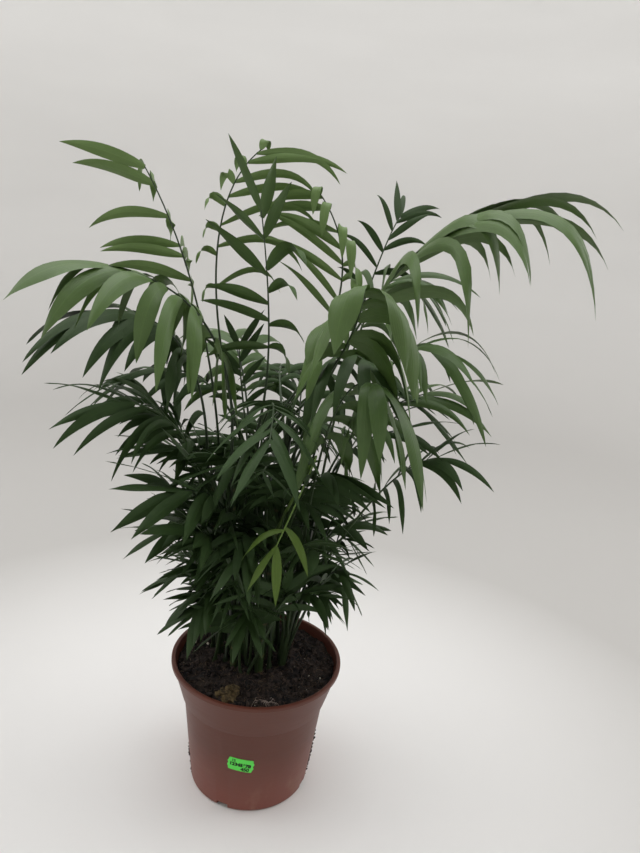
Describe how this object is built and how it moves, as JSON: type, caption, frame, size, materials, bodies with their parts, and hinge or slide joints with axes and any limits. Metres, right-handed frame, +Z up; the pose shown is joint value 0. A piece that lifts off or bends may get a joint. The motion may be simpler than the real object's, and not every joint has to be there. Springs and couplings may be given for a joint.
{
  "type": "potted parlour palm",
  "caption": "Clump-forming indoor palm with slim upright canes and arching feather fronds, in a round plastic nursery pot filled with potting soil.",
  "frame": {"origin": "middle of the flat underside of the pot, where it stands", "axes": "+Z up the plant; -Y is the front, the side of the pot with the price sticker; +X to the right seen from the front"},
  "size_m": [0.4725, 0.4162, 0.6339],
  "materials": {
    "pot": "matte terracotta-brown plastic with scuffs and soil smears",
    "soil": "dark crumbly peat-based potting soil",
    "sticker": "fluorescent green paper label",
    "stem": "smooth green cane with pale sheaths",
    "frond": "leathery leaf with a soft sheen",
    "young_frond": "soft young yellow-green leaf"
  },
  "bodies": {
    "root": {"pot": "pot", "soil": "soil", "price_sticker": "sticker", "cane_1": "stem", "cane_2": "stem", "cane_3": "stem", "cane_4": "stem", "cane_5": "stem", "cane_6": "stem", "cane_7": "stem", "cane_8": "stem", "cane_9": "stem", "cane_10": "stem", "cane_11": "stem", "cane_12": "stem", "frond_left_arch": "frond", "frond_left_back": "frond", "frond_left_upright": "frond", "frond_centre_upright": "frond", "frond_centre_back": "frond", "frond_centre_right": "frond", "frond_back_right": "frond", "frond_right_arch": "frond", "frond_front_arch": "frond", "frond_front_low": "frond", "frond_right_mid": "frond", "frond_right_under": "frond", "frond_right_low": "frond", "frond_left_low": "frond", "frond_left_broad": "frond", "frond_left_broad_low": "frond", "frond_left_thin": "frond", "frond_left_foot": "frond", "frond_right_foot": "frond", "frond_right_thin": "frond", "frond_right_small": "frond", "frond_centre_small": "frond", "frond_young": "young_frond", "frond_inner_1": "frond", "frond_inner_2": "frond", "frond_inner_3": "frond", "frond_inner_4": "frond", "frond_short_1a": "frond", "frond_short_1b": "frond", "frond_short_2a": "frond", "frond_short_2b": "frond", "frond_short_3a": "frond", "frond_short_3b": "frond", "frond_short_4a": "frond", "frond_short_4b": "frond", "frond_short_5a": "frond", "frond_short_5b": "frond", "frond_short_6a": "frond", "frond_short_6b": "frond", "frond_short_7a": "frond", "frond_short_7b": "frond", "frond_short_8a": "frond", "frond_short_8b": "frond"}
  },
  "joints": []
}
